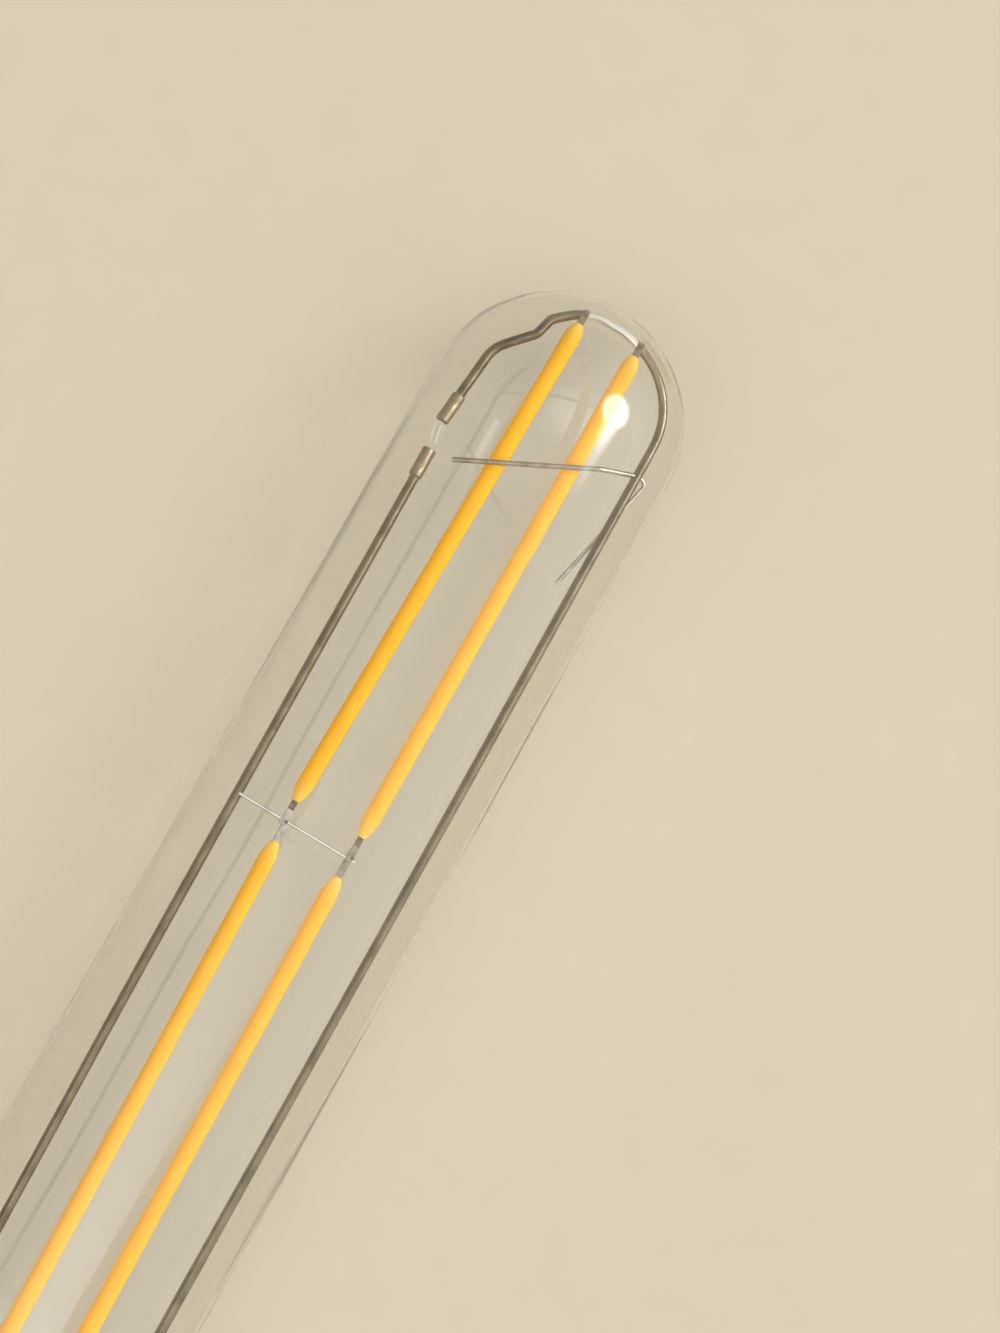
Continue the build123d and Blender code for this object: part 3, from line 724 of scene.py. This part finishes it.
for name, top, foot, top_tab in strands:
    along = (foot - top).normalized()
    coat_start = top + along * top_tab
    coat_end = coat_start + along * COAT_L
    foot_end = coat_end + along * (TAB_ON_CROSS + TAB_END)
    top_nose_l = ARCH_NOSE_L if top_tab == TAB_ON_ARCH else COAT_NOSE_L
    coat(name + "_coat", coat_start, along, top_nose_l, name + "_phosphor")
    dress(white_strip, name + "_strip")
    dress(blue_chip, name + "_chips")
    cross_finish = dulled_steel if top.y < 0 else tab_steel
    top_finish = dark_tab_steel if top_tab == TAB_ON_ARCH else cross_finish
    for end, inner, outer, finish in (
        ("top_tab", coat_start + along * STRIP_INSET, top - along * TAB_END, top_finish),
        ("foot_tab", coat_end + along * TAB_NECK_L, foot_end, cross_finish),
    ):
        shape = plate((inner + outer) / 2, along, (outer - inner).length, STRIP_W, STRIP_T)
        piece(f"{name}_{end}_stamped", [shape], finish, "tab_steel", f"{name}_{end}")
    neck_from = coat_end - along * STRIP_INSET
    neck_to = coat_end + along * (TAB_NECK_L + TAB_CORNER_R)
    neck_l = (neck_to - neck_from).length
    neck = plate((neck_from + neck_to) / 2, along, neck_l, TAB_NECK_W, STRIP_T - TAB_EDGE)
    piece(f"{name}_foot_neck", [neck], dark_tab_steel, "tab_steel")
    lift = Vector((0, 0, STRIP_T / 2))
    aside = Vector((0, -CROSS_WELD_SIDE, 0))
    if top_tab == TAB_ON_ARCH:
        welds.append(weld(top + lift, ARCH_WELD_R, WELD_H))
    else:
        welds.append(weld(top + lift + aside, CROSS_WELD_R, WELD_H))
    welds.append(weld(coat_end + along * TAB_ON_CROSS + lift + aside, CROSS_WELD_R, WELD_H))
piece("weld_nuggets", welds, weld_metal, "tab_steel")


# Envelope.
# One piece of clear soda-lime tube, its far end blown to a dome in a mould and its near end shrunk
# to the neck, where it was fused to the rim of the stem.
TUBE_R = 15.0
GLASS_WALL = 0.5
NECK_R = 11.5
NECK_SHOW = 0.8
SHOULDER_L = 12.0
GLASS_SIDES = 144
DOME_STEPS = 40
SIDE_STEPS = 40
TURN_STEPS = 10

rim = tip_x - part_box("screw_shell")[1].x / MM
neck_end = tip_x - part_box("glass_envelope")[0].x / MM


def envelope(inset):
    """(distance from the tip, radius) down the envelope's outside, or its inside by an inset."""
    radius = TUBE_R - inset
    neck_r = NECK_R - inset
    neck_top = rim - NECK_SHOW
    shoulder_top = neck_top - SHOULDER_L
    half_drop = (radius - neck_r) / 2
    turn_r = ((SHOULDER_L / 2) ** 2 + half_drop**2) / (2 * half_drop)
    sweep = math.asin(SHOULDER_L / 2 / turn_r)
    line = []
    for step in range(DOME_STEPS):
        angle = math.pi / 2 * step / DOME_STEPS
        line.append((TUBE_R - radius * math.cos(angle), radius * math.sin(angle)))
    for step in range(SIDE_STEPS):
        line.append((TUBE_R + (shoulder_top - TUBE_R) * step / SIDE_STEPS, radius))
    for step in range(TURN_STEPS):
        angle = sweep * step / TURN_STEPS
        line.append((shoulder_top + turn_r * math.sin(angle), radius - turn_r * (1 - math.cos(angle))))
    for step in range(TURN_STEPS, -1, -1):
        angle = sweep * step / TURN_STEPS
        line.append((neck_top - turn_r * math.sin(angle), neck_r + turn_r * (1 - math.cos(angle))))
    line.append((neck_end, neck_r))
    return line


def lathe(profile, sides):
    """Rings about the lamp's axis for (distance from the tip, radius) places."""
    turns = [math.tau * i / sides for i in range(sides)]
    return [[at(run, r * math.cos(t), r * math.sin(t)) for t in turns] for run, r in profile]


# Soda-lime glass, drawn and blown: clear, fire-polished, with slow draw lines along the tube.
blown_glass = clear_glass(
    "soda_lime_glass_blown",
    tint="#FEFEFD",
    edge="#E6E8E2",
    shade="#FBFBFA",
    ripple_mm=7.0,
    ripple_depth_mm=0.08,
    stretch=6.0,
)
shell = lathe(envelope(0.0) + envelope(GLASS_WALL)[::-1], GLASS_SIDES)
piece("glass_envelope_blown", [skin(shell, "open")], blown_glass, "clear_glass", "glass_envelope")


# Driver.
# A round board in the cap turns the mains to the filaments' current: a bridge rectifier, a driver
# chip, a smoothing capacitor and, behind it, a fuse resistor that leads to the centre contact.
CLOUD_PER_GRAIN = 6


def moulded(name, colour, second, roughness, grain_mm, depth_mm):
    """A moulded, dipped or printed surface: two close colours and a fine even grain."""
    made, tree, place = material(name)
    cloud_scale = per_mm(grain_mm * CLOUD_PER_GRAIN)
    cloud = node(tree, "TexNoise", {"Vector": place, "Scale": cloud_scale, "Detail": 3.0})
    hues = {0: cloud.outputs["Fac"], 6: srgb(colour), 7: srgb(second)}
    tone = node(tree, "Mix", hues, data_type="RGBA")
    grains = node(tree, "TexNoise", {"Vector": place, "Scale": per_mm(grain_mm), "Detail": 2.0})
    grain = node(tree, "Bump", {"Height": grains.outputs["Fac"], "Distance": depth_mm * MM})
    surface = {"Base Color": tone.outputs[2], "Roughness": roughness, "Normal": grain.outputs[0]}
    show(tree, node(tree, "BsdfPrincipled", surface))
    return made


# Glass-epoxy board under white solder mask: satin, with the weave just showing through.
masked_board = moulded(
    "glass_epoxy_board_masked", "#E4E6E0", "#D3D6CF", roughness=0.38, grain_mm=0.5, depth_mm=0.01
)
dress(masked_board, "driver_board")
# Black epoxy, transfer moulded: matt, finely pitted.
black_epoxy = moulded(
    "black_epoxy_moulded", "#26262A", "#1C1C1F", roughness=0.55, grain_mm=0.15, depth_mm=0.01
)
dress(black_epoxy, "bridge_rectifier", "driver_chip")
# Aluminium can, drawn and sleeved: soft silver.
aluminium_can = drawn_metal(
    "aluminium_can_drawn", "#CDD0D2", worn="#B9BCBE", roughness=0.3, line_mm=0.12, patch_mm=2.0
)
dress(aluminium_can, "smoothing_capacitor")
# Resistor body, dipped in paint: smooth grey green.
resistor_paint = moulded(
    "resistor_paint_dipped", "#8FA596", "#7F9687", roughness=0.3, grain_mm=0.3, depth_mm=0.005
)
dress(resistor_paint, "fuse_resistor")


# Screw shell.
# Thin brass sheet drawn to a cup and plated with nickel, the round thread rolled into it so that it
# shows inside and out, with a flared rim over the glass and a lip turned in over the insulator.
SHEET_T = 0.3
SHELL_L = 22.0
SKIRT_L = 5.0
SKIRT_R = 13.2
RIM_FLARE = 0.35
RIM_FLARE_L = 0.9
STEP_L = 1.2
ROOT_R = 12.05
LIP_H = 1.85
LIP_R = 10.2
THREAD_PITCH = 3.629
THREAD_H = 1.05
THREAD_FADE = 1.6
THREAD_RUN_OUT = 0.3
CREST_SHARE = 0.95
SHELL_SIDES = 120
SHELL_STEPS = 132

# Nickel plate on rolled brass: bright warm silver, with faint rolling lines and light handling marks.
plated_brass = drawn_metal(
    "nickel_plated_brass_rolled", "#CFCBC2", worn="#B8B2A6", roughness=0.22, line_mm=0.3, patch_mm=5.0
)


def eased(share):
    """A share from 0 to 1 that starts and ends gently."""
    share = min(max(share, 0.0), 1.0)
    return share * share * (3 - 2 * share)


rim_x = tip_x - rim


def crest_turn(name, crest_r):
    """The angle round the axis of the CAD thread's crest, carried on to where x is 0."""
    total = Vector((0, 0))
    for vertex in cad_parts[name].data.vertices:
        across = Vector((vertex.co.y / MM, vertex.co.z / MM - axis_z))
        from_rim = rim_x - vertex.co.x / MM
        if across.length > crest_r and SKIRT_L + STEP_L < from_rim < SHELL_L - LIP_H:
            angle = math.atan2(across.y, across.x) - math.tau * vertex.co.x / MM / THREAD_PITCH
            total += Vector((math.cos(angle), math.sin(angle)))
    return math.atan2(total.y, total.x)


thread_turn = crest_turn("screw_shell", ROOT_R + THREAD_H * CREST_SHARE)


def shell_radius(run, angle):
    """Outside radius at a distance from the rim, and round the axis."""
    x = rim_x - run
    flare = RIM_FLARE * (1 - eased(run / RIM_FLARE_L))
    step = eased((run - SKIRT_L) / STEP_L)
    lip = eased((run - (SHELL_L - LIP_H)) / LIP_H)
    wave = 0.5 + 0.5 * math.cos(angle - math.tau * x / THREAD_PITCH - thread_turn)
    start = eased((run - SKIRT_L) / THREAD_FADE)
    stop = eased((SHELL_L - LIP_H + THREAD_RUN_OUT - run) / THREAD_FADE)
    thread = THREAD_H * wave * start * stop
    return SKIRT_R + flare + (ROOT_R - SKIRT_R) * step + (LIP_R - ROOT_R) * lip + thread


turns = [math.tau * i / SHELL_SIDES for i in range(SHELL_SIDES)]
runs = [SHELL_L * i / SHELL_STEPS for i in range(SHELL_STEPS + 1)]
outside = []
inside = []
for run in runs:
    for side, sheet in ((outside, 0.0), (inside, SHEET_T)):
        radii = [shell_radius(run, t) - sheet for t in turns]
        side.append([at(rim + run, r * math.cos(t), r * math.sin(t)) for r, t in zip(radii, turns)])
sheet_shape = skin(outside + inside[::-1], "joined")
piece("screw_shell_rolled", [sheet_shape], plated_brass, "nickel_plated_brass", "screw_shell")


# Cement, insulator and contact.
# A ring of baked cement bonds the shell to the neck. Black glass moulded in the shell's lip carries
# the stamped brass contact, which the fuse lead is soldered to.

# Basing cement, baked: sandy buff, matt and gritty.
baked_cement = moulded(
    "basing_cement_baked", "#CDBFA2", "#B9A988", roughness=0.85, grain_mm=0.35, depth_mm=0.06
)
dress(baked_cement, "basing_cement")
# Black glass, moulded hot: deep black, glossy, with slow flow waves.
black_glass = moulded(
    "black_glass_moulded", "#141416", "#1B1B1E", roughness=0.16, grain_mm=1.2, depth_mm=0.02
)
dress(black_glass, "cap_insulator")
# Brass, stamped: yellow, a little tarnished at the rim.
stamped_brass = drawn_metal(
    "brass_contact_stamped", "#C9A45C", worn="#A8854A", roughness=0.3, line_mm=0.15, patch_mm=2.5
)
dress(stamped_brass, "centre_contact")


# Floor, light and camera.
# A plain pale warm card under the lamp, in a pale room that is brighter to the right. A soft round
# lamp on the right shines in the dome, and a wide weak one over the cap lifts the shadows. It is
# seen from nearly straight above, the tip to the upper right and the cap past the picture's edge.
FLOOR_HALF = 3.0
FLOOR_GAP = 0.00005
FIBRE_MM = 6.0
LAMP_MIDDLE = (0.5, 0.5, 0.0)
LAMP_RIM = 0.5
KEY_AIM = Vector((0.424, -0.581, 0.694))
KEY_DISTANCE = 1.4
KEY_SIZE = 0.78
KEY_CORE = 0.68
KEY_RADIANCE = 6.8
FILL_AIM = Vector((-0.45, 0.3, 0.84))
FILL_DISTANCE = 1.8
FILL_SIZE = 2.9
FILL_CORE = 0.0
FILL_RADIANCE = 1.7
WINDOW_AIM = Vector((0.2, -0.72, 0.66)).normalized()
WINDOW_RADIANCE = 1.36
WINDOW_FALLOFF = 2.0
ROOM_RADIANCE = 0.36
EYE = Vector((6.1024, 34.9388, 339.8365)) * MM
EYE_RIGHT = (0.483, -0.8569, 0.18)
EYE_UP = (0.8654, 0.4985, 0.0513)
EYE_BACK = (-0.1337, 0.1309, 0.9823)
FOCAL_PIXELS = 2925.9
PICTURE_LONG_SIDE = 1333
SENSOR_MM = 36.0
NEAR_CLIP = 0.01
FAR_CLIP = 20.0


def card():
    """Dyed card, calendered: even warm beige with a barely seen fibre mottle."""
    made, tree, place = material("warm_card_calendered")
    fibre = node(tree, "TexNoise", {"Vector": place, "Scale": per_mm(FIBRE_MM), "Detail": 4.0})
    hues = {0: fibre.outputs["Fac"], 6: srgb("#D3C8B2"), 7: srgb("#CFC4AE")}
    tone = node(tree, "Mix", hues, data_type="RGBA")
    show(tree, node(tree, "BsdfPrincipled", {"Base Color": tone.outputs[2], "Roughness": 0.9}))
    return made


floor_mesh = bpy.data.meshes.new("floor")
corners = [(-1, -1), (1, -1), (1, 1), (-1, 1)]
floor_points = [(x * FLOOR_HALF, y * FLOOR_HALF, -FLOOR_GAP) for x, y in corners]
floor_mesh.from_pydata(floor_points, [], [(0, 1, 2, 3)])
floor_mesh.materials.append(card())
floor = bpy.data.objects.new("floor", floor_mesh)
bpy.context.scene.collection.objects.link(floor)


def soft_lamp(name, aim, distance, size, core, radiance):
    """A round lamp that faces the dome and fades from its core to its rim."""
    light = bpy.data.lights.new(name, "AREA")
    light.shape = "DISK"
    light.size = size
    light.energy = radiance * math.pi * (math.pi / 4 * size**2)
    light.use_nodes = True
    tree = light.node_tree
    tree.nodes.clear()
    spot = node(tree, "NewGeometry").outputs["Parametric"]
    from_middle = node(tree, "VectorMath", {0: spot, 1: LAMP_MIDDLE}, operation="DISTANCE").outputs["Value"]
    rim_to_core = {"Value": from_middle, "From Min": LAMP_RIM, "From Max": LAMP_RIM * core}
    fade = node(tree, "MapRange", rim_to_core, interpolation_type="SMOOTHERSTEP")
    glow = node(tree, "Emission", {"Strength": fade.outputs[0]})
    node(tree, "OutputLight", {"Surface": glow.outputs[0]})
    back = aim.normalized()
    sideways = (Vector((1, 0, 0)) - back * back.x).normalized()
    turn = Matrix((sideways, back.cross(sideways), back)).transposed().to_4x4()
    made = bpy.data.objects.new(name, light)
    made.matrix_world = Matrix.Translation(at(TUBE_R, 0.0) * MM + back * distance) @ turn
    bpy.context.scene.collection.objects.link(made)


soft_lamp("key_lamp", KEY_AIM, KEY_DISTANCE, KEY_SIZE, KEY_CORE, KEY_RADIANCE)
soft_lamp("fill_lamp", FILL_AIM, FILL_DISTANCE, FILL_SIZE, FILL_CORE, FILL_RADIANCE)

room = bpy.data.worlds.new("room")
room.use_nodes = True
walls = room.node_tree
walls.nodes.clear()
towards = node(walls, "TexCoord").outputs["Generated"]
facing = node(walls, "VectorMath", {0: towards, 1: WINDOW_AIM}, operation="DOT_PRODUCT")
ahead = node(walls, "Math", {0: facing.outputs["Value"], 1: 0.0}, operation="MAXIMUM")
spread = node(walls, "Math", {0: ahead.outputs[0], 1: WINDOW_FALLOFF}, operation="POWER")
dim_to_bright = {"Value": spread.outputs[0], "To Min": ROOM_RADIANCE, "To Max": WINDOW_RADIANCE}
level = node(walls, "MapRange", dim_to_bright)
daylight = node(walls, "Background", {"Color": srgb("#F7F4EE"), "Strength": level.outputs[0]})
node(walls, "OutputWorld", {"Surface": daylight.outputs[0]})
bpy.context.scene.world = room

lens = bpy.data.cameras.new("camera")
lens.sensor_width = SENSOR_MM
lens.lens = FOCAL_PIXELS * SENSOR_MM / PICTURE_LONG_SIDE
lens.clip_start = NEAR_CLIP
lens.clip_end = FAR_CLIP
eye = bpy.data.objects.new("camera", lens)
eye_turn = Matrix((EYE_RIGHT, EYE_UP, EYE_BACK)).transposed().to_4x4()
eye.matrix_world = Matrix.Translation(EYE) @ eye_turn
bpy.context.scene.collection.objects.link(eye)
bpy.context.scene.camera = eye
bpy.context.scene.view_settings.view_transform = "Standard"
